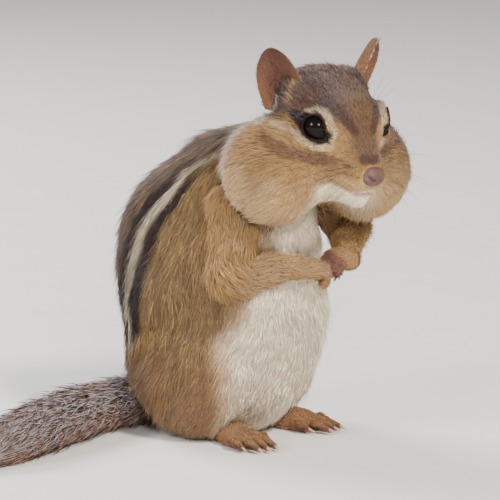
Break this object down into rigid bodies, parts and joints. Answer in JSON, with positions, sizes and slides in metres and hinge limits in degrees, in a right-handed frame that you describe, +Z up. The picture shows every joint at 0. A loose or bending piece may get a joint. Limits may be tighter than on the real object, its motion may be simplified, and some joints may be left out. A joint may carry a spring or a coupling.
{
  "type": "eastern chipmunk, museum model",
  "caption": "Still life-size chipmunk that sits up on its haunches with full cheek pouches, paws held at its chest and bushy tail laid round its side.",
  "frame": {"origin": "on the floor, on the flat under the rump, below the middle of the body", "axes": "+Z up, the body faces -Y and +X is the animal's left"},
  "size_m": [0.1209, 0.1029, 0.1194],
  "materials": {
    "fur_crown": "short grizzled brown fur with cream and dark face stripes",
    "fur_cheek": "soft golden tan fur",
    "fur_ear": "very short brown fur with a pale rim",
    "fur_flank": "soft golden brown fur with dark and cream back stripes and a white belly",
    "fur_limb": "short orange brown fur",
    "fur_foot": "very short orange brown fur with pink toe pads and pale claws",
    "fur_tail": "long frosted grey brown hair over rust",
    "eye": "wet gloss black",
    "nose_skin": "bare pinkish brown skin"
  },
  "bodies": {
    "root": {"head": "fur_crown", "nose": "nose_skin", "eye_right": "eye", "eye_left": "eye", "ear_right": "fur_ear", "ear_left": "fur_ear", "pouch_right": "fur_cheek", "pouch_left": "fur_cheek", "neck": "fur_flank", "torso": "fur_flank", "upper_arm_right": "fur_limb", "upper_arm_left": "fur_limb", "forearm_right": "fur_limb", "forearm_left": "fur_limb", "paw_right": "fur_foot", "paw_left": "fur_foot", "thigh_right": "fur_flank", "thigh_left": "fur_flank", "foot_right": "fur_foot", "foot_left": "fur_foot", "tail_base": "fur_tail", "tail_middle": "fur_tail", "tail_tip": "fur_tail"}
  },
  "joints": []
}
